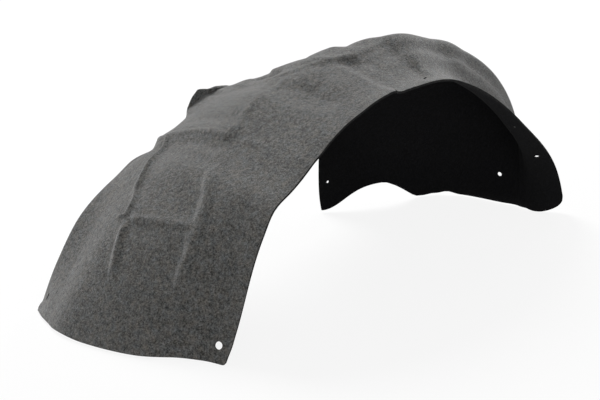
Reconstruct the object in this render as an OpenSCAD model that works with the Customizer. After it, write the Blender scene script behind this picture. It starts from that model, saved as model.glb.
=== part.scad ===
// Wheel arch liner: one thermoformed needle-felt shell that lines the arch over a wheel.
// The sheet is lofted through six lines that run along the arch: rim, flange, ramp, crown,
// shoulder and inboard edge. Each is set by its height over the rim and its distance
// inboard, at seven angles round the wheel axis. It is then trimmed at both feet and
// pierced. X runs from the near foot to the far foot, Y from the rim inboard, Z up.

/* [Arch] */
// Radius of the outboard rim round the wheel axis
arch_r = 373; // [361:1:385]
// Height of the floor that the feet stand on over the wheel axis
floor_h = 107; // [99:1:114]
// Wall of the moulded felt
wall = 3; // [2.5:0.1:4]
// Width of the flat flange along the outboard rim
flange_w = 28; // [24:1:34]
// Distance from the rim to the inboard edge
liner_w = 268; // [262:1:276]
// How far the near foot of the rim tucks in towards the wheel
near_tuck = 27; // [17:1:33]
// How far the far leg of the rim dips towards the wheel
far_dip = 10; // [4:0.5:13]
// How far the far foot of the rim flares out from the wheel
far_flare = 12.5; // [6:0.5:17]
// Step in the rim over the wheel, where it passes from one panel to the next
rim_step = 5; // [1:0.5:7]

/* [Crown] */
// Height of the crown over the rim at the near foot
crown_near = 91; // [80:1:98]
// Height of the crown on the near leg
crown_leg = 59; // [50:0.5:70]
// Height of the crown at the near haunch
crown_haunch = 18.5; // [12:0.5:28]
// Height of the crown over the wheel
crown_top = 10.5; // [4:0.5:18]
// Height of the crown past the wheel, where it is fullest
crown_full = 41; // [33:0.5:49]
// Height of the crown at the far haunch
crown_back = 50; // [41:0.5:56]
// Depth of the far foot's inner face behind the rim
foot_set = 35; // [27:1:43]

/* [Inboard wall] */
// Distance from the wheel axis to the upright front edge of the inboard wall
wall_front = 101; // [90:1:115]
// Height of the notch in the bottom edge of the inboard wall
notch_h = 30; // [18:1:36]
// Height of the fixing tab that stands on the inboard edge
tab_h = 46; // [36:1:54]
// Radius of the rim's lower corner at the far foot
foot_corner_r = 28; // [18:1:34]

/* [Relief] */
// Height of the beads and steps of the near leg
bead_h = 4; // [2:0.5:5.5]
// Half the width of a bead
bead_w = 10; // [8:0.5:13]
// Height of the pads over the wheel
pad_h = 5; // [3:0.5:7]

/* [Holes and slits] */
// Diameter of the fixing hole at the near foot
near_hole_d = 9.5; // [7:0.1:11]
// Diameter of the fixing holes of the far leg
far_hole_d = 7; // [5.5:0.1:9]
// Diameter of the hole in the inboard wall
wall_hole_d = 4.5; // [3.5:0.1:6]
// Distance of the rim's fixing holes from the rim
hole_in = 14; // [11:0.5:16]
// Length of the short slits
slit_len = 9; // [6:0.5:12]
// Width of the slits
slit_w = 2.2; // [1.5:0.1:3]

/* [Hidden] */

felt_colour = [0.38, 0.38, 0.375];

// Rows of facets along the arch, up to the seam over the wheel and past it
near_rows = 42;
far_rows = 30;
rows = near_rows + far_rows;
seam_a = 96;
// Columns of facets across the sheet. Two of them run along the near leg's long beads
cols = 37;
flange_cols = 5;
right_col = 11;
left_col = 21;

// Share of the section at which each of the six lines runs
LINE_V = [0, 0.08, 0.26, 0.5, 0.74, 1];
// Angles round the wheel axis at which the lines are set, from the near foot
STATION_A = [14, 31, 46, 74, 104, 132, 160];
// Height of the lines over the rim at those angles. The shoulder and the inboard edge are
// set by how far they lie below the crown
FLANGE_H = [16, 11.5, 5, 2, 2, -5.5, 9 - foot_set];
CROWN_H = [crown_near, crown_leg, crown_haunch, crown_top, crown_full, crown_back, -foot_set];
SHOULDER_H = CROWN_H - [5, 8, 11, 36, 108, 135, 46];
EDGE_H = CROWN_H - [17, 7.5, 20, 74, 150, 168, 59];
// Distance of the crown inboard of the rim, and of the other two from the full width: the
// wall closes in behind the far foot
CROWN_Y = [182, 180, 172, 146, 116, 90, 84];
SHOULDER_SET = [34, 32, 24, 10, 16, 39, 74];
EDGE_SET = [0, 0, 0, 0, -2, 2, 66];
// The ramp bulges: at this share of the way to the crown it has this share of the height
ramp_way = 0.4;
ramp_share = 0.64;

function share(x) = min(1, max(0, x));
function ease(x, a, b) = let (t = share((x - a) / (b - a))) t * t * (3 - 2 * t);
function plateau(x, a, b, w) = ease(x, a - w, a) * (1 - ease(x, b, b + w));
function bump(x, c, w) = let (t = share(abs(x - c) / w)) (1 - t * t) * (1 - t * t);
function lerp(a, b, t) = a + (b - a) * t;

// Smooth curve through the values ys at the places xs
function slope(xs, ys, i) =
    let (lo = max(0, i - 1), hi = min(len(xs) - 1, i + 1)) (ys[hi] - ys[lo]) / (xs[hi] - xs[lo]);
function piece(xs, x, i = 0) = i >= len(xs) - 2 || x < xs[i + 1] ? i : piece(xs, x, i + 1);
function through(xs, ys, x) =
    let (i = piece(xs, x), h = xs[i + 1] - xs[i], t = share((x - xs[i]) / h), s = 1 - t)
    s * s * (1 + 2 * t) * ys[i] + t * s * s * h * slope(xs, ys, i)
    + t * t * (3 - 2 * t) * ys[i + 1] - t * t * s * h * slope(xs, ys, i + 1);
function along(ys, a) = through(STATION_A, ys, a);

// Radius of the rim: tucked in at the near foot, with a kink above it, a rise up to the
// step over the wheel, a dip past it, and flared out at the far foot
function rim_r(a) =
    arch_r - near_tuck * (1 - ease(a, 24, 50)) + 2 * bump(a, 47, 5) - 6 * bump(a, 55, 9)
    - 2 * bump(a, 62, 4) + 1.5 * bump(a, 69, 5) + rim_step * (ease(a, 66, 80) - ease(a, 82, 85))
    + 2.3 * bump(a, 98, 9) - far_dip * bump(a, 126, 27) + far_flare * ease(a, 130, 157);
// The rim alone turns out at its near corner
toe_out = 5;

// Inboard edge: a roof edge up to the wall, whose front edge is upright. A fixing tab
// stands on it and leans inboard, and a narrow lip does at the near foot
tab_lean = 3;
lip_w = 5;
function tab(a) =
    (0.8 * share((a - 61.5) / 4.9) + 0.2 * share((a - 66.4) / 2))
    * (1 - 0.14 * share((a - 68.4) / 7.2)) * (1 - share((a - 76) / 2));
function edge_r(a) =
    let (roof = rim_r(a) + along(EDGE_H, a) + tab_h * tab(a),
         front = wall_front / max(0.05, cos(180 - a)))
    lerp(roof, min(roof, front), ease(a, 98, 112));
function edge_y(a) =
    liner_w - along(EDGE_SET, a) + lip_w * (1 - ease(a, 15.5, 17)) + tab_lean * tab(a);

// The columns are closest at the rim, where the flange has its rounded corners. Those of
// the near leg lean with its two long beads
COL_W = [for (j = [0 : cols]) j < flange_cols ? LINE_V[1] * (1 - cos(90 * j / flange_cols))
         : lerp(LINE_V[1], 1, (j - flange_cols) / (cols - flange_cols))];
flange_wd = COL_W[flange_cols];
right_w = COL_W[right_col];
left_w = COL_W[left_col];
function right_v(a) = 0.2 + 0.1 * share((a - 29.5) / 20);
function left_v(a) =
    0.41 + 0.25 * share((a - 24.5) / 31.5) + 0.02 * ease(a, 34.5, 36.5) - 0.14 * ease(a, 60, 90);
function lean(w, a) =
    let (r = right_v(a), l = left_v(a))
    w < flange_wd ? w
    : w < right_w ? lerp(flange_wd, r, (w - flange_wd) / (right_w - flange_wd))
    : w < left_w ? lerp(r, l, (w - right_w) / (left_w - right_w))
    : lerp(l, 1, (w - left_w) / (1 - left_w));

// Point of the section at an angle and a column's share, as [radius, distance inboard]
function section(a, w) =
    let (r = rim_r(a), fh = along(FLANGE_H, a), ch = along(CROWN_H, a), cy = along(CROWN_Y, a))
    through(LINE_V, [
        [r + toe_out * (1 - ease(a, 17, 22)), 0],
        [r + fh, flange_w],
        [r + lerp(fh, ch, ramp_share), lerp(flange_w, cy, ramp_way)],
        [r + ch, cy],
        [r + along(SHOULDER_H, a), liner_w - along(SHOULDER_SET, a)],
        [edge_r(a), edge_y(a)]], lean(w, a));
function sheet(a, w) = let (s = section(a, w)) [-s[0] * cos(a), s[1], s[0] * sin(a) - floor_h];

// Height of the trimmed bottom edge over the floor, at the near foot and at the far foot
near_corner_r = 3;
toe_h = 2;
function corner(d, r) = d < r ? r - sqrt(r * r - (r - d) * (r - d)) : 0;
function near_trim(w) =
    corner(w / LINE_V[1] * flange_w, near_corner_r)
    + toe_h * (ease(w, 0.06, 0.2) + 0.6 * bump(w, 0.65, 0.09) - 0.8 * ease(w, 0.8, 0.95));
function far_trim(w) =
    corner(w / LINE_V[1] * flange_w, foot_corner_r)
    + toe_h * (1.3 * ease(w, 0.1, 0.2) + 1.6 * bump(w, 0.69, 0.035) - 0.8 * bump(w, 0.765, 0.03))
    + notch_h * (w < 0.826 ? ease(w, 0.782, 0.82) : 1 - ease(w, 0.826, 1));

// Angle at which a line along the arch meets the trimmed edge, between one angle inside
// the sheet and one outside it
function foot_angle(w, z, inside, outside, n = 14) =
    n == 0 ? (inside + outside) / 2
    : let (m = (inside + outside) / 2)
      sheet(m, w)[2] > z ? foot_angle(w, z, m, outside, n - 1) : foot_angle(w, z, inside, m, n - 1);

// Relief of the near leg: two long beads that lean with the columns, a bead across them, a
// step at the top and the two shallow panels that they frame
section_mm = 290;
function along_bead(w, bead) = bump((w - bead) * section_mm, 0, bead_w);
function near_leg_relief(a, w) =
    let (between = ease(w, right_w, right_w + 0.045) * (1 - ease(w, left_w - 0.045, left_w)),
         panels = plateau(a, 40.5, 52, 3) + plateau(a, 29, 33.5, 4))
    bead_h * (0.7 * along_bead(w, left_w) * plateau(a, 27, 54, 4)
              + 0.8 * along_bead(w, right_w) * plateau(a, 31, 47, 4)
              + 0.3 * between * bump(a, 37, 2.6) - 0.5 * between * panels
              + plateau(w, 0.34, 0.92, 0.03) * bump(a, 57.2 - 4 * ease(w, 0.5, 0.8), 3.6)
              + 0.5 * plateau(w, 0.27, 0.3, 0.03) * bump(a, 58, 3));

// Pads over the wheel: each rises at a short step across the arch and runs out past it
function pad_relief(a, y) =
    let (inboard = ease(y, 118, 142), over = plateau(y, 60, 135, 30),
         shoulder = lerp(152, 98, min(12, a - 74) / 9))
    pad_h * (0.4 * inboard * plateau(a, 64.5, 68.5, 3) - 0.8 * over * bump(a, 72.4, 4.6)
             + 0.2 * over * plateau(a, 75.5, 78, 3)
             + 0.8 * ease(y, shoulder, shoulder + 24) * ease(a, 78.5, 80.8) * (1 - ease(a, 88, 92))
             - 1.7 * bump(a, 78.6, 2.6) * plateau(y, 185, 212, 20)
             + 0.8 * ease(y, 212, 240) * plateau(a, 73, 77, 2.5)
             - 0.3 * plateau(y, 20, 100, 20) * bump(a, 94.5, 3)
             + 0.5 * plateau(y, 30, 95, 20) * ease(a, 95, 98) * (1 - ease(a, 100, 112))
             + 0.9 * bump(a, 88, 4) * plateau(y, 140, 170, 20)
             + 0.5 * bump(a, 94, 4) * plateau(y, 118, 135, 15)
             + 0.6 * bump(a, 113, 5) * plateau(y, 60, 110, 20));
function relief(a, w) = near_leg_relief(a, w) + pad_relief(a, section(a, w)[1]);

// Outward normal of the plain sheet
function unit(d) = d / norm(d);
function normal(a, w) =
    let (da = sheet(a + 0.2, w) - sheet(a - 0.2, w),
         dw = sheet(a, min(1, w + 0.004)) - sheet(a, max(0, w - 0.004)))
    unit(cross(da, dw));
// A place on the moulded sheet, as [point of the outer face, outward normal]
function place(a, w) = let (n = normal(a, w)) [sheet(a, w) + n * relief(a, w), n];

NEAR_A = [for (w = COL_W) foot_angle(w, near_trim(w), 60, 8)];
FAR_A = [for (w = COL_W) foot_angle(w, far_trim(w), 112, 172)];
function row_a(i, j) =
    i < near_rows ? lerp(NEAR_A[j], seam_a, i / near_rows)
    : lerp(seam_a, FAR_A[j], (i - near_rows) / far_rows);
GRID = [for (i = [0 : rows]) for (j = [0 : cols]) place(row_a(i, j), COL_W[j])];
OUTER = [for (g = GRID) g[0]];
INNER = [for (g = GRID) g[0] - wall * g[1]];
POINTS = concat(OUTER, INNER);

// The origin is under the middle of the part, on the floor
LOW = [for (k = [0 : 2]) min([for (p = POINTS) p[k]])];
HIGH = [for (k = [0 : 2]) max([for (p = POINTS) p[k]])];
ORIGIN = [(LOW[0] + HIGH[0]) / 2, (LOW[1] + HIGH[1]) / 2, LOW[2]];

inner_start = (rows + 1) * (cols + 1);
function id(i, j) = i * (cols + 1) + j;
function quad(a, b, c, d) = [[a, b, c], [a, c, d]];
function faces() = concat(
    [for (i = [0 : rows - 1]) for (j = [0 : cols - 1])
        each quad(id(i, j), id(i, j + 1), id(i + 1, j + 1), id(i + 1, j))],
    [for (i = [0 : rows - 1]) for (j = [0 : cols - 1])
        each quad(inner_start + id(i, j), inner_start + id(i + 1, j),
                  inner_start + id(i + 1, j + 1), inner_start + id(i, j + 1))],
    [for (i = [0 : rows - 1])
        each concat(quad(id(i, 0), id(i + 1, 0), inner_start + id(i + 1, 0), inner_start + id(i, 0)),
                    quad(id(i, cols), inner_start + id(i, cols), inner_start + id(i + 1, cols),
                         id(i + 1, cols)))],
    [for (j = [0 : cols - 1])
        each concat(quad(id(0, j), inner_start + id(0, j), inner_start + id(0, j + 1), id(0, j + 1)),
                    quad(id(rows, j), id(rows, j + 1), inner_start + id(rows, j + 1),
                         inner_start + id(rows, j)))]);

// Moves its children to a place on the sheet, with Z along the outward normal
module on_sheet(a, w) {
    at = place(a, w);
    n = at[1];
    translate(at[0] - wall / 2 * n) rotate([0, acos(n[2]), atan2(n[1], n[0])]) children();
}

// Length of the cutters of the holes and slits
cut_len = 6 * wall;
module hole(at, d) {
    on_sheet(at[0], at[1]) cylinder(d = d, h = cut_len, center = true, $fn = 48);
}
module slit(at, length, turn) {
    straight = length - slit_w;
    on_sheet(at[0], at[1]) rotate([0, 0, turn]) linear_extrude(cut_len, center = true) union() {
        square([straight, slit_w], center = true);
        for (s = [-1, 1]) translate([s * straight / 2, 0]) circle(d = slit_w, $fn = 24);
    }
}

// Places of the holes and slits, as [angle, share of the section]. The rim's row of holes
// lies along the flange
rim_w = LINE_V[1] * hole_in / flange_w;
NEAR_HOLE = [20.8, rim_w];
FAR_HOLES = [[132, rim_w], [145.6, rim_w], [154.8, 0.525]];
WALL_HOLE = [126.5, 0.95];
FOOT_SLIT = [18, 0.93];
STEP_SLIT = [83.4, 0.004];
FLANGE_SLIT = [95, 0.05];

module near_leg_holes() {
    hole(NEAR_HOLE, near_hole_d);
    slit(FOOT_SLIT, slit_len, 0);
}
module rim_slits() {
    slit(STEP_SLIT, 2 * slit_len, 68);
    slit(FLANGE_SLIT, slit_len, 75);
}
module far_leg_holes() {
    for (at = FAR_HOLES) hole(at, far_hole_d);
    hole(WALL_HOLE, wall_hole_d);
}

module liner() {
    color(felt_colour) translate(-ORIGIN) difference() {
        polyhedron(points = POINTS, faces = faces(), convexity = 8);
        near_leg_holes();
        rim_slits();
        far_leg_holes();
    }
}

liner();
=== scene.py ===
"""Wheel arch liner: the dressed felt shell, its materials, the floor, the light and the camera.

The moulded sheet is the same form as in the part's source, worked out on a finer grid, with the
felt's rounded cut edges and its finer marks. In the form, lengths are in millimetres and angles
in degrees. The angle a runs round the wheel axis from the near foot to the far foot. The share w
of a column, or v of the section, runs from 0 at the rim to 1 at the inboard edge, and y is the
distance inboard of the rim.
"""
import math

import bmesh
import bpy
import numpy as np
from mathutils import Matrix, Vector


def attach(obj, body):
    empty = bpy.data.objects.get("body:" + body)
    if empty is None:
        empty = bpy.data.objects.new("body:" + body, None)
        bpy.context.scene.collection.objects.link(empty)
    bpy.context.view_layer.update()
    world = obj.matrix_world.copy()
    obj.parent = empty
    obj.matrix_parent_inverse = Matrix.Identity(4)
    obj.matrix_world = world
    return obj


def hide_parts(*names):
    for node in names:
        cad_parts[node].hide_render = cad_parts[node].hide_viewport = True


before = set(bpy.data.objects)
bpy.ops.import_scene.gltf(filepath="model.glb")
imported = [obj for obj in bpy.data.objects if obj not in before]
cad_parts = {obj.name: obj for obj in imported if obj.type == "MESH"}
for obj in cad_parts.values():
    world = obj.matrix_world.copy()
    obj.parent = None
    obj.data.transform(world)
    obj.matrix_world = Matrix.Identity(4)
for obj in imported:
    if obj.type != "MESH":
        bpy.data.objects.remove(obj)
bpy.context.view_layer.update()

MM = 0.001

# Arch: radius of the rim, height of the floor over the wheel axis, wall, width of the flange,
# and distance from the rim to the inboard edge
arch_r = 373.0
floor_h = 107.0
wall = 3.0
flange_w = 28.0
liner_w = 268.0

# Rim: how far it tucks in at the near foot, dips and flares on the far leg, steps over the
# wheel, and turns out at its near corner
near_tuck = 27.0
far_dip = 10.0
far_flare = 12.5
rim_step = 5.0
toe_out = 5.0

# Crown: its height over the rim, from the near foot to the far haunch, and the depth of the
# far foot's inner face behind the rim
crown_near = 91.0
crown_leg = 59.0
crown_haunch = 18.5
crown_top = 10.5
crown_full = 41.0
crown_back = 50.0
foot_set = 35.0

# Inboard edge: distance of the wall's upright front from the wheel axis, height and lean of
# the fixing tab, and width of the lip at the near foot
wall_front = 101.0
tab_h = 46.0
tab_lean = 3.0
lip_w = 5.0

# Trimmed feet: height of their waves, radius of the rim's two corners, and height of the notch
toe_h = 2.0
near_corner_r = 3.0
foot_corner_r = 28.0
notch_h = 30.0

# Relief of the source: height and half the width of the beads, and height of the pads
bead_h = 4.0
bead_w = 10.0
pad_h = 5.0

# Holes and slits: their diameters, how far the rim's holes lie from the rim, the size of the
# short slits, and the length of the cutters
near_hole_d = 9.5
far_hole_d = 7.0
wall_hole_d = 4.5
hole_in = 14.0
slit_len = 9.0
slit_w = 2.2
cut_len = 6 * wall

# Share of the section at which each of the six lines along the arch runs: rim, flange, ramp,
# crown, shoulder and inboard edge
LINE_V = np.array([0.0, 0.08, 0.26, 0.5, 0.74, 1.0])
# Angles at which the lines are set, and their heights over the rim there. The shoulder and the
# inboard edge are set by how far they lie below the crown
STATION_A = np.array([14.0, 31.0, 46.0, 74.0, 104.0, 132.0, 160.0])
FLANGE_H = np.array([16, 11.5, 5, 2, 2, -5.5, 9 - foot_set])
CROWN_H = np.array([crown_near, crown_leg, crown_haunch, crown_top, crown_full, crown_back, -foot_set])
SHOULDER_H = CROWN_H - np.array([5, 8, 11, 36, 108, 135, 46])
EDGE_H = CROWN_H - np.array([17, 7.5, 20, 74, 150, 168, 59])
# Distance of the crown inboard of the rim, and of the other two from the full width
CROWN_Y = np.array([182.0, 180, 172, 146, 116, 90, 84])
SHOULDER_SET = np.array([34.0, 32, 24, 10, 16, 39, 74])
EDGE_SET = np.array([0.0, 0, 0, 0, -2, 2, 66])
# The ramp bulges: at this share of the way to the crown it has this share of the height
ramp_way = 0.4
ramp_share = 0.64
# Rough length of the section, which turns a share of it into millimetres
section_mm = 290.0

# The source's grid: rows up to the seam over the wheel and past it, and columns, two of which
# run along the near leg's long beads
near_rows = 42
far_rows = 30
seam_a = 96.0
cols = 37
flange_cols = 5
right_col = 11
left_col = 21

# The felt's finer grid, and the angle of the near foot from which its rows are spread
fine_cols = 192
fine_near_rows = 208
fine_far_rows = 136
near_foot_a = 17.5

# The rounded cut edge: rounds of points at these shares of the wall, this far out
EDGE_ROUNDS = [(0.18, 0.45), (0.5, 0.7), (0.82, 0.45)]
# The shell's material slots
OUTSIDE, INSIDE, CUT_EDGE = range(3)

# Crest of the crown's ridge, and of the rise before it: angles and distances inboard
RIDGE = ([74.0, 74.7, 76.0, 77.5, 79.0, 81.0, 84.0, 86.0, 88.0, 91.0],
         [200.0, 183.0, 155.0, 140.0, 129.0, 114.0, 106.0, 99.0, 91.0, 80.0])
RISE = ([58.0, 64.0, 70.0, 75.0], [129.0, 136.0, 141.0, 137.0])


# Curves
def share(x):
    return np.clip(x, 0.0, 1.0)


def ease(x, a, b):
    """Smooth rise from 0 at a to 1 at b."""
    t = share((x - a) / (b - a))
    return t * t * (3 - 2 * t)


def plateau(x, a, b, w):
    """1 from a to b, with smooth ends w wide outside them."""
    return ease(x, a - w, a) * (1 - ease(x, b, b + w))


def bump(x, c, w):
    """Smooth bump of height 1 at c, w wide on either side."""
    t = share(np.abs(x - c) / w)
    return (1 - t * t) ** 2


def lerp(a, b, t):
    return a + (b - a) * t


def through(xs, ys, x):
    """Smooth curve through the values ys at the places xs."""
    x = np.asarray(x, float)
    last = len(xs) - 1
    i = np.clip(np.searchsorted(xs, x, side="right") - 1, 0, last - 1)
    ys = [np.broadcast_to(y, x.shape) for y in ys]
    slopes = []
    for k in range(last + 1):
        lo, hi = max(0, k - 1), min(last, k + 1)
        slopes.append((ys[hi] - ys[lo]) / (xs[hi] - xs[lo]))
    heights, slopes = np.stack(ys), np.stack(slopes)

    def take(values, k):
        return np.take_along_axis(values, k[None], 0)[0]

    h = xs[i + 1] - xs[i]
    t = share((x - xs[i]) / h)
    s = 1 - t
    return (s * s * (1 + 2 * t) * take(heights, i) + t * s * s * h * take(slopes, i)
            + t * t * (3 - 2 * t) * take(heights, i + 1) - t * t * s * h * take(slopes, i + 1))


def along(ys, a):
    return through(STATION_A, list(ys), a)


def unit(d):
    return d / np.linalg.norm(d, axis=-1, keepdims=True)


# The plain sheet
def rim_r(a):
    """Radius of the rim: tucked in at the near foot, with a kink above it, a rise up to the
    step over the wheel, a dip past it, and flared out at the far foot."""
    return (arch_r - near_tuck * (1 - ease(a, 24, 50)) + 2 * bump(a, 47, 5) - 6 * bump(a, 55, 9)
            - 2 * bump(a, 62, 4) + 1.5 * bump(a, 69, 5) + rim_step * (ease(a, 66, 80) - ease(a, 82, 85))
            + 2.3 * bump(a, 98, 9) - far_dip * bump(a, 126, 27) + far_flare * ease(a, 130, 157))


def tab(a):
    """Height of the source's fixing tab, as a share of its full height."""
    return ((0.8 * share((a - 61.5) / 4.9) + 0.2 * share((a - 66.4) / 2))
            * (1 - 0.14 * share((a - 68.4) / 7.2)) * (1 - share((a - 76) / 2)))


def photo_tab(a):
    """The tab's outline in the photograph, with a steeper side than the source's."""
    return ((0.55 * share((a - 62) / 1.8) + 0.3 * share((a - 63.8) / 2.6) + 0.15 * share((a - 66.4) / 2))
            * (1 - 0.2 * share((a - 68.4) / 7.2)) * (1 - share((a - 76) / 2)))


def edge_r(a):
    """Radius of the inboard edge: a roof edge up to the wall, whose front edge is upright."""
    roof = rim_r(a) + along(EDGE_H, a) + tab_h * tab(a)
    front = wall_front / np.maximum(0.05, np.cos(np.radians(180 - a)))
    return lerp(roof, np.minimum(roof, front), ease(a, 98, 112))


def edge_y(a):
    """Distance inboard of the inboard edge, with the lip at the near foot and the tab's lean."""
    return liner_w - along(EDGE_SET, a) + lip_w * (1 - ease(a, 15.5, 17)) + tab_lean * tab(a)


def col_share(j):
    """Share of the section at a column. The columns are closest at the rim's rounded corners."""
    j = np.asarray(j, float)
    flange = LINE_V[1] * (1 - np.cos(np.radians(90 * np.minimum(j, flange_cols) / flange_cols)))
    beyond = LINE_V[1] + (1 - LINE_V[1]) * (j - flange_cols) / (cols - flange_cols)
    return np.where(j < flange_cols, flange, beyond)


flange_wd = float(col_share(flange_cols))
right_w = float(col_share(right_col))
left_w = float(col_share(left_col))


def source_beads(a):
    """Shares of the section at which the source's two long beads run."""
    right = 0.2 + 0.1 * share((a - 29.5) / 20)
    left = 0.41 + 0.25 * share((a - 24.5) / 31.5) + 0.02 * ease(a, 34.5, 36.5) - 0.14 * ease(a, 60, 90)
    return right, left


def photo_beads(a):
    """Shares of the section at which they run in the photograph."""
    right, left = source_beads(a)
    right = right + 0.015 * (1 - ease(a, 30, 34)) + 0.04 * ease(a, 43, 50)
    left = left + 0.035 * (ease(a, 39, 42) - ease(a, 60, 90))
    return right, left


def stretch_between(x, old, new):
    """The share x after the two bead lines have moved from their old shares to new ones."""
    first = lerp(flange_wd, new[0], (x - flange_wd) / (old[0] - flange_wd))
    second = lerp(new[0], new[1], (x - old[0]) / (old[1] - old[0]))
    third = lerp(new[1], 1.0, (x - old[1]) / (1 - old[1]))
    past_flange = np.where(x < old[0], first, np.where(x < old[1], second, third))
    return np.where(x < flange_wd, x, past_flange)


def lean(w, a):
    """Share of the section of a column: those of the near leg lean with its two long beads."""
    return stretch_between(w, (right_w, left_w), source_beads(a))


def bead_share(v, a):
    """Column whose place on the section is v, if the columns followed the photograph's beads."""
    return stretch_between(v, photo_beads(a), (right_w, left_w))


def section(a, w, as_seen=False):
    """Radius and distance inboard at an angle and a column's share.

    As seen, the tab has its outline in the photograph.
    """
    a, w = np.broadcast_arrays(np.asarray(a, float), np.asarray(w, float))
    rim, flange_h = rim_r(a), along(FLANGE_H, a)
    crown_h, crown_y = along(CROWN_H, a), along(CROWN_Y, a)
    edge = edge_r(a)
    if as_seen:
        edge = edge + tab_h * (photo_tab(a) - tab(a))
    radii = [rim + toe_out * (1 - ease(a, 17, 22)), rim + flange_h,
             rim + lerp(flange_h, crown_h, ramp_share), rim + crown_h, rim + along(SHOULDER_H, a), edge]
    inboard = [0.0, flange_w, lerp(flange_w, crown_y, ramp_way), crown_y,
               liner_w - along(SHOULDER_SET, a), edge_y(a)]
    v = lean(w, a)
    return through(LINE_V, radii, v), through(LINE_V, inboard, v)


def sheet(a, w, as_seen=False):
    """Point of the plain sheet, with the floor at Z 0 under the wheel axis."""
    radius, y = section(a, w, as_seen)
    turn = np.radians(a)
    return np.stack([-radius * np.cos(turn), y, radius * np.sin(turn) - floor_h], -1)


def normal(a, w, as_seen=False, step_a=0.2, step_w=0.004):
    """Outward normal of the plain sheet."""
    da = sheet(a + step_a, w, as_seen) - sheet(a - step_a, w, as_seen)
    dw = (sheet(a, np.minimum(1, w + step_w), as_seen)
          - sheet(a, np.maximum(0, w - step_w), as_seen))
    return unit(np.cross(da, dw))


# The trimmed feet
def corner(d, r):
    """Height of an edge over the floor at the distance d from a corner rounded to the radius r."""
    return np.where(d < r, r - np.sqrt(np.maximum(0, r * r - (r - d) ** 2)), 0)


def near_trim(w):
    """Height of the near foot's edge over the floor."""
    waves = ease(w, 0.06, 0.2) + 0.6 * bump(w, 0.65, 0.09) - 0.8 * ease(w, 0.8, 0.95)
    return corner(w / LINE_V[1] * flange_w, near_corner_r) + toe_h * waves


def far_trim(w):
    """Height of the far foot's edge over the floor, with the notch in the inboard wall."""
    notch = np.where(w < 0.826, ease(w, 0.782, 0.82), 1 - ease(w, 0.826, 1))
    waves = 1.3 * ease(w, 0.1, 0.2) + 1.6 * bump(w, 0.69, 0.035) - 0.8 * bump(w, 0.765, 0.03)
    return corner(w / LINE_V[1] * flange_w, foot_corner_r) + notch_h * notch + toe_h * waves


def foot_angle(w, z, inside, outside, halvings=24):
    """Angle at which a line along the arch meets the trimmed edge, between one angle inside
    the sheet and one outside it."""
    inside = np.full(w.shape, float(inside))
    outside = np.full(w.shape, float(outside))
    for _ in range(halvings):
        mid = (inside + outside) / 2
        above = sheet(mid, w)[..., 2] > z
        inside, outside = np.where(above, mid, inside), np.where(above, outside, mid)
    return (inside + outside) / 2


# The source's relief
def near_leg_relief(a, w):
    """Two long beads that lean with the columns, a bead across them, a step at the top and the
    two shallow panels that they frame."""
    def bead(at):
        return bump((w - at) * section_mm, 0, bead_w)

    between = ease(w, right_w, right_w + 0.045) * (1 - ease(w, left_w - 0.045, left_w))
    panels = plateau(a, 40.5, 52, 3) + plateau(a, 29, 33.5, 4)
    return bead_h * sum([
        0.7 * bead(left_w) * plateau(a, 27, 54, 4),
        0.8 * bead(right_w) * plateau(a, 31, 47, 4),
        0.3 * between * bump(a, 37, 2.6),
        -0.5 * between * panels,
        plateau(w, 0.34, 0.92, 0.03) * bump(a, 57.2 - 4 * ease(w, 0.5, 0.8), 3.6),
        0.5 * plateau(w, 0.27, 0.3, 0.03) * bump(a, 58, 3)])


def shoulder_pad(a, y, height=1.0):
    """Pad on the crown's shoulder, which starts further inboard towards the near leg."""
    start = lerp(152, 98, np.minimum(12, a - 74) / 9)
    return height * ease(y, start, start + 24) * ease(a, 78.5, 80.8) * (1 - ease(a, 88, 92))


def pad_relief(a, y):
    """Pads over the wheel: each rises at a short step across the arch and runs out past it."""
    inboard = ease(y, 118, 142)
    over = plateau(y, 60, 135, 30)
    return pad_h * sum([
        0.4 * inboard * plateau(a, 64.5, 68.5, 3),
        -0.8 * over * bump(a, 72.4, 4.6),
        0.2 * over * plateau(a, 75.5, 78, 3),
        shoulder_pad(a, y, 0.8),
        -1.7 * bump(a, 78.6, 2.6) * plateau(y, 185, 212, 20),
        0.8 * ease(y, 212, 240) * plateau(a, 73, 77, 2.5),
        -0.3 * plateau(y, 20, 100, 20) * bump(a, 94.5, 3),
        0.5 * plateau(y, 30, 95, 20) * ease(a, 95, 98) * (1 - ease(a, 100, 112)),
        0.9 * bump(a, 88, 4) * plateau(y, 140, 170, 20),
        0.5 * bump(a, 94, 4) * plateau(y, 118, 135, 15),
        0.6 * bump(a, 113, 5) * plateau(y, 60, 110, 20)])


def relief(a, w):
    return near_leg_relief(a, w) + pad_relief(a, section(a, w)[1])


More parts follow.
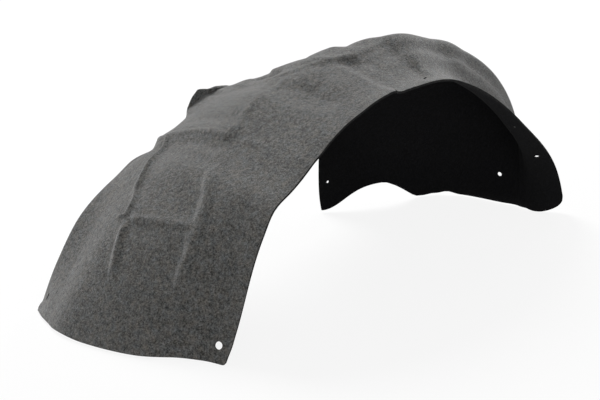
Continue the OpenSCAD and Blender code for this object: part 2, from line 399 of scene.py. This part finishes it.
# The felt's finer relief
def fine_near_leg(a, w):
    """The near leg's beads as sharp as the felt holds them, in millimetres."""
    def rib(at, half):
        return bump((w - at) * section_mm, 0, half)

    between = ease(w, right_w, right_w + 0.03) * (1 - ease(w, left_w - 0.03, left_w))
    panels = plateau(a, 40.5, 51, 2.5) + plateau(a, 28, 34.5, 2)
    hooked = left_w + 0.05 * (1 - ease(a, 35.2, 36.4))
    lower = left_w + 0.006
    cross_a = 36.1 + 13.0 * (0.487 - w)
    step_a = 57.7 - 3.5 * ease(w, 0.36, 0.62)
    step = (4.2 * ease(a, step_a - 3, step_a - 0.2) * (1 - ease(a, step_a + 0.3, step_a + 5))
            - 2.4 * ease(a, step_a - 13, step_a - 3.2) * (1 - ease(a, step_a - 3.2, step_a - 0.2))
            + 1.5 * bump(a, step_a, 0.9))
    return sum([
        # Left bead above the cross bead, with a hook at its foot, and the soft swell under it
        2.1 * rib(hooked, 4.8) * plateau(a, 35.4, 54, 0.6),
        0.9 * rib(left_w, 10) * plateau(a, 37, 53, 2),
        # Left bead below the cross bead, and its swell
        2.1 * rib(lower, 4.8) * plateau(a, 26.5, 33.8, 0.8),
        0.6 * rib(lower, 10) * plateau(a, 27, 33.5, 2),
        # Right bead
        2.6 * rib(right_w - 0.006, 11) * plateau(a, 29.5, 47.5, 3),
        # Cross bead, and the two sunk panels
        2.4 * between * bump(a, cross_a, 1.1) * (1 - ease(w, 0.49, 0.52)),
        -1.9 * between * panels,
        # Step above them, with the hollow below it, and the short mark beside it
        plateau(w, 0.33, 0.92, 0.05) * step,
        1.3 * plateau(w, 0.215, 0.25, 0.02) * bump(a, 58.1, 1.2)])


def pad_dip(a, y):
    """Dip in the shoulder pad on the inboard side of the crown, in millimetres."""
    return 0.8 * pad_h * shoulder_pad(a, y) * (0.9 * ease(y, 204, 214) - 0.4 * ease(y, 230, 244))


def fine_pads(a, y):
    """Creases of the crown that the source only rounds, in millimetres."""
    ridge = y - np.interp(a, *RIDGE)
    rise = y - np.interp(a, *RISE)
    return sum([
        # Ridge, the hollow on its outboard side, and the rise before it
        1.5 * bump(ridge, 2, 9) * plateau(a, 75.6, 87.5, 1.2),
        -0.9 * bump(ridge, -13, 11) * (bump(a, 76.6, 1.7) + plateau(a, 82, 85.5, 1.5)),
        1.1 * bump(rise, 3, 9) * plateau(a, 59.5, 74, 1.5),
        # Creases across the crown between the rise and the ridge
        -1.3 * plateau(y, 150, 246, 10) * bump(a, 73.2, 1.9),
        -0.8 * plateau(y, 84, 131, 8) * bump(a, 72.6 + 0.03 * (131 - y), 1.7),
        0.7 * plateau(y, 92, 124, 7) * bump(a, 74.9, 0.9),
        # Creases round the pad by the flange
        -1.1 * bump(y - 89, 0, 8) * plateau(a, 88.5, 94.5, 1.5),
        -0.9 * plateau(y, 52, 76, 8) * bump(a, 88.2, 1.5),
        -1.1 * plateau(y, 36, 76, 8) * bump(a, 95.6 + 0.06 * (y - 36), 1.5)])


def fine_relief(a, w):
    y = section(a, w)[1]
    pads = pad_relief(a, y) - pad_dip(a, y)
    return fine_near_leg(a, bead_share(lean(w, a), a)) + pads + fine_pads(a, y)


def place(a, w, marks=relief, as_seen=False):
    """Point of the outer face and the outward normal."""
    n = normal(a, w, as_seen)
    return sheet(a, w, as_seen) + n * marks(a, w)[..., None], n


# The grids
def grid_angles(column_w, up, down):
    """Angles of the rows at each column, from their shares of the way to the seam and past it."""
    near_a = foot_angle(column_w, near_trim(column_w), 60, 8)
    far_a = foot_angle(column_w, far_trim(column_w), 112, 172)
    near_leg = lerp(near_a[None], seam_a, up[:, None])
    far_leg = lerp(seam_a, far_a[None], down[1:, None])
    return np.concatenate([near_leg, far_leg])


def spread_out(count, density, lo=0.0, hi=1.0, samples=4001):
    """Places from lo to hi, closer together where the density is higher, as shares of the way."""
    x = np.linspace(lo, hi, samples)
    total = np.concatenate([[0], np.cumsum((density(x[1:]) + density(x[:-1])) / 2)])
    return np.interp(np.linspace(0, total[-1], count + 1), total, (x - lo) / (hi - lo))


def column_density(w):
    """The columns are closest at the long beads, the notch and the cut edges, and at two places
    near the inboard edge."""
    return (1 + 1.6 * bump(w, left_w + 0.01, 0.06) + 1.2 * bump(w, right_w - 0.01, 0.06)
            + 1.5 * bump(w, 0, 0.05) + 0.8 * bump(w, 0.826, 0.04) + 2.5 * bump(w, 0.968, 0.012)
            + 1.2 * bump(w, 0.872, 0.02) + 1.5 * bump(w, 1, 0.03))


def near_row_density(a):
    """The rows are closest at the cross bead, the step above it, the tab, the crown's creases and
    the rim's step."""
    return (1 + 1.6 * plateau(a, 34.4, 38.5, 2) + 1.3 * plateau(a, 53, 59, 2) + 1.2 * bump(a, 62.5, 2)
            + 1.5 * plateau(a, 71.5, 78, 2) + 1.6 * bump(a, 83.5, 2.5))


def source_origin():
    """The origin that the source's own grid gives: under the middle of the part, on the floor."""
    w = col_share(np.arange(cols + 1))
    a = grid_angles(w, np.linspace(0, 1, near_rows + 1), np.linspace(0, 1, far_rows + 1))
    face, out_n = place(a, np.broadcast_to(w, a.shape))
    points = np.concatenate([face.reshape(-1, 3), (face - wall * out_n).reshape(-1, 3)])
    low, high = points.min(0), points.max(0)
    return np.array([(low[0] + high[0]) / 2, (low[1] + high[1]) / 2, low[2]])


origin = source_origin()


def to_frame(p):
    return (np.asarray(p, float) - origin) * MM


# Objects and meshes
def new_object(name, data):
    obj = bpy.data.objects.new(name, data)
    bpy.context.scene.collection.objects.link(obj)
    return obj


def edit_mesh(mesh, change):
    """Open a mesh, change it and write it back."""
    bm = bmesh.new()
    bm.from_mesh(mesh)
    change(bm)
    bm.to_mesh(mesh)
    bm.free()


def turn_outward(bm):
    bmesh.ops.recalc_face_normals(bm, faces=bm.faces)


def run_length(points, axis):
    """Distance of each point of a grid from its first row or column, along the grid."""
    steps = np.linalg.norm(np.diff(points, axis=axis), axis=-1)
    start = np.zeros_like(np.take(steps, [0], axis))
    return np.concatenate([start, np.cumsum(steps, axis=axis)], axis)


def border(rows, columns):
    """Rows and columns of a grid's border points, once round."""
    ring = ([(i, 0) for i in range(rows)]
            + [(rows - 1, j) for j in range(1, columns)]
            + [(i, columns - 1) for i in range(rows - 2, -1, -1)]
            + [(0, j) for j in range(columns - 2, 0, -1)])
    return np.array(ring).T


def quads(rows, columns, first):
    """Faces of a grid whose points are numbered from first."""
    i, j = np.meshgrid(np.arange(rows - 1), np.arange(columns - 1), indexing="ij")
    at = first + i * columns + j
    return np.stack([at, at + 1, at + columns + 1, at + columns], -1).reshape(-1, 4)


def band(upper, lower):
    """Faces between two rounds of points."""
    return np.stack([upper, np.roll(upper, -1), np.roll(lower, -1), lower], -1)


def thinning_band(upper, lower):
    """Faces between two rounds of points, the lower of which has only every second point."""
    next_upper, next_lower = np.roll(upper, -2), np.roll(lower, -2)
    return np.stack([upper[::2], upper[1::2], next_upper[::2], next_lower[::2], lower[::2]], -1)


def build_shell(outer, inner, flat):
    """The two faces and a rounded cut edge between them.

    The inner face takes every second row and column. flat is the place of each point on the
    sheet laid flat, in metres, for the felt's fibres.
    """
    rows, columns = outer.shape[:2]
    i, j = border(rows, columns)
    away = unit(outer[i, j] - outer[np.clip(i, 1, rows - 2), np.clip(j, 1, columns - 2)])
    points = [outer.reshape(-1, 3), inner[::2, ::2].reshape(-1, 3)]
    coords = [flat.reshape(-1, 2), flat[::2, ::2].reshape(-1, 2)]
    for depth, out in EDGE_ROUNDS:
        points.append(lerp(outer[i, j], inner[i, j], depth) + away * out)
        coords.append(flat[i, j])

    inner_rows, inner_columns = (rows + 1) // 2, (columns + 1) // 2
    inner_start = rows * columns
    edge_start = inner_start + inner_rows * inner_columns
    count = len(i)
    rounds = [i * columns + j]
    rounds += [edge_start + k * count + np.arange(count) for k in range(len(EDGE_ROUNDS))]
    outside = quads(rows, columns, 0).tolist()
    inside = quads(inner_rows, inner_columns, inner_start)[:, ::-1].tolist()
    cut_edge = []
    for upper, lower in zip(rounds[:-1], rounds[1:]):
        cut_edge += band(upper, lower).tolist()
    cut_edge += thinning_band(rounds[-1], inner_start + (i // 2) * inner_columns + j // 2).tolist()

    faces = outside + inside + cut_edge
    slots = [OUTSIDE] * len(outside) + [INSIDE] * len(inside) + [CUT_EDGE] * len(cut_edge)
    mesh = bpy.data.meshes.new("felt_shell")
    mesh.from_pydata(to_frame(np.concatenate(points)).tolist(), [], faces)
    mesh.polygons.foreach_set("material_index", slots)
    mesh.polygons.foreach_set("use_smooth", [True] * len(faces))
    loops = np.zeros(len(mesh.loops), dtype=np.int32)
    mesh.loops.foreach_get("vertex_index", loops)
    layer = mesh.uv_layers.new(name="sheet")
    layer.data.foreach_set("uv", np.concatenate(coords)[loops].ravel())
    mesh.validate()
    mesh.update()
    edit_mesh(mesh, turn_outward)
    return new_object("felt_shell", mesh)


fine_w = spread_out(fine_cols, column_density)
fine_up = spread_out(fine_near_rows, near_row_density, near_foot_a, seam_a)
grid_a = grid_angles(fine_w, fine_up, np.linspace(0, 1, fine_far_rows + 1))
outer_face, outward = place(grid_a, np.broadcast_to(fine_w, grid_a.shape), fine_relief, as_seen=True)
laid_flat = np.stack([run_length(outer_face, 0), run_length(outer_face, 1)], -1) * MM
shell = build_shell(outer_face, outer_face - wall * outward, laid_flat)


# Holes and slits, at the source's places
def cutter_frame(a, w):
    """Place and turn of a cutter on the sheet, with Z along the outward normal."""
    p, n = place(np.array(float(a)), np.array(float(w)))
    spin = Matrix.Rotation(math.atan2(n[1], n[0]), 4, "Z") @ Matrix.Rotation(math.acos(n[2]), 4, "Y")
    return Matrix.Translation(Vector(to_frame(p - wall / 2 * n))) @ spin


def hole(d, sides=32):
    """Outline of a round hole."""
    turns = [2 * math.pi * k / sides for k in range(sides)]
    return [(d / 2 * math.cos(t), d / 2 * math.sin(t)) for t in turns]


def slit(length, turn, sides=8):
    """Outline of a slit with round ends, turned on the sheet."""
    outline = []
    for end, start in ((1, -90), (-1, 90)):
        middle = end * (length - slit_w) / 2
        for k in range(sides + 1):
            t = math.radians(start + 180 * k / sides)
            outline.append((middle + slit_w / 2 * math.cos(t), slit_w / 2 * math.sin(t)))
    c, s = math.cos(math.radians(turn)), math.sin(math.radians(turn))
    return [(x * c - y * s, x * s + y * c) for x, y in outline]


def add_cutter(bm, a, w, outline):
    at = cutter_frame(a, w)

    def ring(z):
        return [bm.verts.new(at @ Vector((x * MM, y * MM, z * MM))) for x, y in outline]

    lower, upper = ring(-cut_len / 2), ring(cut_len / 2)
    for k in range(len(outline)):
        m = (k + 1) % len(outline)
        bm.faces.new([lower[k], lower[m], upper[m], upper[k]])
    bm.faces.new(lower[::-1])
    bm.faces.new(upper)


# The angle, the share of the section and the outline of each. The rim's row of holes lies along
# the flange
rim_w = LINE_V[1] * hole_in / flange_w
CUTS = [(20.8, rim_w, hole(near_hole_d)),
        (18.0, 0.93, slit(slit_len, 0)),
        (83.4, 0.004, slit(2 * slit_len, 68)),
        (95.0, 0.05, slit(slit_len, 75)),
        (132.0, rim_w, hole(far_hole_d)),
        (145.6, rim_w, hole(far_hole_d)),
        (154.8, 0.525, hole(far_hole_d)),
        (126.5, 0.95, hole(wall_hole_d))]


def add_cutters(bm):
    for a, w, outline in CUTS:
        add_cutter(bm, a, w, outline)
    turn_outward(bm)


cut_mesh = bpy.data.meshes.new("cutters")
edit_mesh(cut_mesh, add_cutters)
for face in cut_mesh.polygons:
    face.material_index = CUT_EDGE
cutter = new_object("cutters", cut_mesh)


def cut_out(obj, cutter):
    """Take the cutter's solids out of an object, and the cutter out of the scene."""
    cut = obj.modifiers.new("holes", "BOOLEAN")
    cut.operation = "DIFFERENCE"
    cut.solver = "EXACT"
    cut.object = cutter
    depsgraph = bpy.context.evaluated_depsgraph_get()
    done = bpy.data.meshes.new_from_object(obj.evaluated_get(depsgraph))
    obj.modifiers.clear()
    obj.data = done
    bpy.data.objects.remove(cutter)


def remove_slivers(bm):
    """Split the many-sided faces round the holes, and drop pairs of faces that lie back to back."""
    many_sided = [face for face in bm.faces if len(face.verts) > 4]
    bmesh.ops.triangulate(bm, faces=many_sided, ngon_method="EAR_CLIP")
    bm.verts.index_update()
    pairs = {}
    for face in bm.faces:
        pairs.setdefault(frozenset(v.index for v in face.verts), []).append(face)
    doubled = [face for faces in pairs.values() if len(faces) > 1 for face in faces]
    bmesh.ops.delete(bm, geom=doubled, context="FACES")


# Nodes. A tree is the node tree of a material or of the world
def new_material(name):
    mat = bpy.data.materials.new(name)
    mat.use_nodes = True
    return mat, mat.node_tree, mat.node_tree.nodes["Principled BSDF"]


def math_node(tree, kind, a, b):
    """A sum, product or the like of two sockets, or of a socket and a float."""
    node = tree.nodes.new("ShaderNodeMath")
    node.operation = kind
    for k, value in enumerate((a, b)):
        if isinstance(value, float):
            node.inputs[k].default_value = value
        else:
            tree.links.new(value, node.inputs[k])
    return node.outputs[0]


def remap(tree, value, from_lo, from_hi, to_lo, to_hi):
    node = tree.nodes.new("ShaderNodeMapRange")
    node.clamp = True
    for k, v in enumerate((from_lo, from_hi, to_lo, to_hi)):
        node.inputs[k + 1].default_value = v
    tree.links.new(value, node.inputs[0])
    return node.outputs[0]


def noise(tree, vector, scale, detail, rough):
    node = tree.nodes.new("ShaderNodeTexNoise")
    node.inputs["Scale"].default_value = scale
    node.inputs["Detail"].default_value = detail
    node.inputs["Roughness"].default_value = rough
    tree.links.new(vector, node.inputs["Vector"])
    return node.outputs["Fac"]


def mottle(tree, vector, scale, detail, rough, lo, hi, to_lo=-1.0, to_hi=1.0):
    """Noise whose range from lo to hi is stretched to another."""
    return remap(tree, noise(tree, vector, scale, detail, rough), lo, hi, to_lo, to_hi)


def fibre_field(tree, vector, scale, turns, lo, hi, ground):
    """Short fibres lying in several directions of the sheet: 1 on them, and ground between them.

    The noise is drawn out along each direction, and set off so that no two look alike.
    """
    best = None
    for k, turn in enumerate(turns):
        turned = tree.nodes.new("ShaderNodeMapping")
        turned.inputs["Rotation"].default_value = (0, 0, math.radians(turn))
        turned.inputs["Location"].default_value = (0.37 * k, 0.21 * k, 0.13 * k)
        tree.links.new(vector, turned.inputs["Vector"])
        drawn_out = tree.nodes.new("ShaderNodeMapping")
        drawn_out.inputs["Scale"].default_value = (0.3, 1.0, 1.0)
        tree.links.new(turned.outputs["Vector"], drawn_out.inputs["Vector"])
        value = noise(tree, drawn_out.outputs["Vector"], scale, 2.0, 0.55)
        best = value if best is None else math_node(tree, "MAXIMUM", best, value)
    return remap(tree, best, lo, hi, ground, 1.0)


def weighted_sum(tree, fields, weights, factor=1.0):
    total = None
    for name, weight in weights.items():
        part = math_node(tree, "MULTIPLY", fields[name], weight * factor)
        total = part if total is None else math_node(tree, "ADD", total, part)
    return total


# Felt. Fibres and hairs have a scale per metre, their directions in degrees, the range of the
# noise that is used, and the value between them
FIBRES = (820.0, (8, 52, 97, 143), 0.56, 0.74, 0.0)
HAIRS = (2600.0, (20, 80, 140), 0.52, 0.72, -0.5)
# Mottles have a scale per metre, a detail, a roughness, and the range of the noise that is used
GRAIN = (480.0, 3.0, 0.62, 0.34, 0.68)
CLUMPS = (190.0, 2.0, 0.55, 0.34, 0.66)
CLOUDS = (24.0, 3.0, 0.55, 0.32, 0.68)
TINT = (140.0, 2.0, 0.5, 0.3, 0.7)
# What each adds to the felt's shade and to its height
SHADE_WEIGHTS = {"grain": 0.42, "clumps": 0.2, "clouds": 0.08, "fibres": 0.6, "hairs": 0.2}
HEIGHT_WEIGHTS = {"fibres": 0.55, "hairs": 0.2, "grain": 0.3, "clumps": 0.3}
# The shift keeps the mean of the shade near 1 at any contrast, and the darkest is its lower limit
mean_shift = 0.2
darkest = 0.18


def felt(name, base, contrast, tint, depth, sheen=0.0):
    """Needle felt: light fibres over a mixed dark ground, in clumps, with a soft, hairy surface.

    The tint is how far its colour turns warm or cool, and the depth that of its fibres in metres.
    """
    mat, tree, shader = new_material(name)
    uv = tree.nodes.new("ShaderNodeUVMap")
    uv.uv_map = "sheet"
    on_sheet = uv.outputs["UV"]
    in_space = tree.nodes.new("ShaderNodeTexCoord").outputs["Object"]
    fields = {"fibres": fibre_field(tree, on_sheet, *FIBRES),
              "hairs": fibre_field(tree, on_sheet, *HAIRS),
              "grain": mottle(tree, in_space, *GRAIN),
              "clumps": mottle(tree, in_space, *CLUMPS),
              "clouds": mottle(tree, in_space, *CLOUDS)}

    shade = weighted_sum(tree, fields, SHADE_WEIGHTS, contrast)
    shade = math_node(tree, "ADD", shade, 1.0 - mean_shift * contrast)
    shade = math_node(tree, "MAXIMUM", shade, darkest)
    warmth = mottle(tree, in_space, *TINT, 1.0 - tint, 1.0 + tint)
    tinted = tree.nodes.new("ShaderNodeCombineColor")
    tree.links.new(math_node(tree, "MULTIPLY", shade, warmth), tinted.inputs["Red"])
    tree.links.new(shade, tinted.inputs["Green"])
    tree.links.new(math_node(tree, "DIVIDE", shade, warmth), tinted.inputs["Blue"])
    colour = tree.nodes.new("ShaderNodeMix")
    colour.data_type = "RGBA"
    colour.blend_type = "MULTIPLY"
    colour.inputs[0].default_value = 1.0
    colour.inputs[6].default_value = (*base, 1)
    tree.links.new(tinted.outputs[0], colour.inputs[7])
    tree.links.new(colour.outputs[2], shader.inputs["Base Color"])

    rough = remap(tree, fields["fibres"], 0.0, 1.0, 0.97, 0.84)
    tree.links.new(rough, shader.inputs["Roughness"])
    shader.inputs["Specular IOR Level"].default_value = 0.1
    shader.inputs["Sheen Weight"].default_value = sheen
    shader.inputs["Sheen Roughness"].default_value = 0.5

    surface = tree.nodes.new("ShaderNodeBump")
    surface.inputs["Strength"].default_value = 0.75
    surface.inputs["Distance"].default_value = depth
    tree.links.new(weighted_sum(tree, fields, HEIGHT_WEIGHTS), surface.inputs["Height"])
    tree.links.new(surface.outputs["Normal"], shader.inputs["Normal"])
    return mat


# One for each slot: OUTSIDE, INSIDE and CUT_EDGE
felts = [
    felt("felt_outside", (0.102, 0.101, 0.0965), contrast=1.25, tint=0.06, depth=0.0005, sheen=0.42),
    felt("felt_inside", (0.0045, 0.0045, 0.005), contrast=0.7, tint=0.02, depth=0.0003),
    # Painted shade: cut edges and hole walls darker than the felt, so they catch no floor light
    felt("felt_cut_edge_painted_shade", (0.018, 0.018, 0.018), contrast=0.9, tint=0.03, depth=0.0004)]
for mat in felts:
    shell.data.materials.append(mat)
    cut_mesh.materials.append(mat)

cut_out(shell, cutter)
edit_mesh(shell.data, remove_slivers)
# Faces that meet at more than this angle keep a sharp edge, as round the holes
sharp_turn = 50
shell.data.set_sharp_from_angle(angle=math.radians(sharp_turn))

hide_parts("liner")
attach(shell, "root")


def seen_white(tree):
    """1 for rays from the camera and for mirrored or refracted ones, and 0 for the rest."""
    path = tree.nodes.new("ShaderNodeLightPath").outputs
    mirrored = math_node(tree, "MAXIMUM", path["Is Glossy Ray"], path["Is Transmission Ray"])
    return math_node(tree, "MAXIMUM", path["Is Camera Ray"], mirrored)


# Floor: plain and pale, in metres. It is seen nearly white, and its share that isn't glow
# keeps a faint shadow
floor_half = 14.0
floor_z = -0.0004
glow_share = 0.88
floor_corners = [(x * floor_half, y * floor_half, floor_z)
                 for x, y in ((-1, -1), (1, -1), (1, 1), (-1, 1))]
floor_mesh = bpy.data.meshes.new("floor")
floor_mesh.from_pydata(floor_corners, [], [(0, 1, 2, 3)])
floor = new_object("floor", floor_mesh)
floor_mat, floor_tree, floor_shader = new_material("pale_floor")
floor_shader.inputs["Base Color"].default_value = (0.86, 0.86, 0.86, 1)
floor_shader.inputs["Roughness"].default_value = 0.9
floor_shader.inputs["Specular IOR Level"].default_value = 0.05
glow = floor_tree.nodes.new("ShaderNodeEmission")
glow.inputs["Strength"].default_value = 1.0
mix = floor_tree.nodes.new("ShaderNodeMixShader")
seen_glow = math_node(floor_tree, "MULTIPLY", seen_white(floor_tree), glow_share)
floor_tree.links.new(seen_glow, mix.inputs[0])
floor_tree.links.new(floor_shader.outputs[0], mix.inputs[1])
floor_tree.links.new(glow.outputs[0], mix.inputs[2])
floor_tree.links.new(mix.outputs[0], floor_tree.nodes["Material Output"].inputs["Surface"])
floor_mesh.materials.append(floor_mat)

# Light: an even surround that is seen as white, a broad soft light from above on the inboard
# side, a weaker one from beyond the far leg, and a fill from the rim's side
surround_light = 0.22
world = bpy.data.worlds.new("surround")
bpy.context.scene.world = world
world.use_nodes = True
world_tree = world.node_tree
background = world_tree.nodes["Background"]
background.inputs["Color"].default_value = (1, 1, 1, 1)
strength = remap(world_tree, seen_white(world_tree), 0.0, 1.0, surround_light, 1.0)
world_tree.links.new(strength, background.inputs["Strength"])


def area_light(name, place_m, aim_m, size_m, power):
    """A round light at a place, aimed at another, in metres and watts."""
    data = bpy.data.lights.new(name, "AREA")
    data.shape = "DISK"
    data.size = size_m
    data.energy = power
    obj = new_object(name, data)
    obj.location = place_m
    obj.rotation_euler = (Vector(aim_m) - Vector(place_m)).to_track_quat("-Z", "Y").to_euler()


area_light("key", (0.35, 1.9, 2.4), (0, 0, 0.15), 1.6, 98)
area_light("back", (2.7, 1.0, 1.1), (0.2, 0, 0.2), 1.6, 25)
area_light("fill", (-1.5, -1.8, 1.0), (-0.2, 0, 0.1), 1.8, 19)

# Camera: the photograph's, solved in the source's millimetres, with its focal length in pixels
cam_place = (-1056.97, -841.19, 601.66)
cam_right = Vector((0.70587, -0.70834, 0))
cam_up = Vector((0.24227, 0.24142, 0.93969))
cam_look = Vector((0.66562, 0.66330, -0.34202))
focal_px = 1100
photo_w = 600
cam_data = bpy.data.cameras.new("camera")
cam_data.sensor_width = 36.0
cam_data.lens = cam_data.sensor_width * focal_px / photo_w
cam_data.clip_end = 60.0
cam = new_object("camera", cam_data)
cam_turn = Matrix((cam_right, cam_up, -cam_look)).transposed().to_4x4()
cam.matrix_world = Matrix.Translation(Vector(to_frame(cam_place))) @ cam_turn
bpy.context.scene.camera = cam

bpy.context.scene.view_settings.view_transform = "Standard"
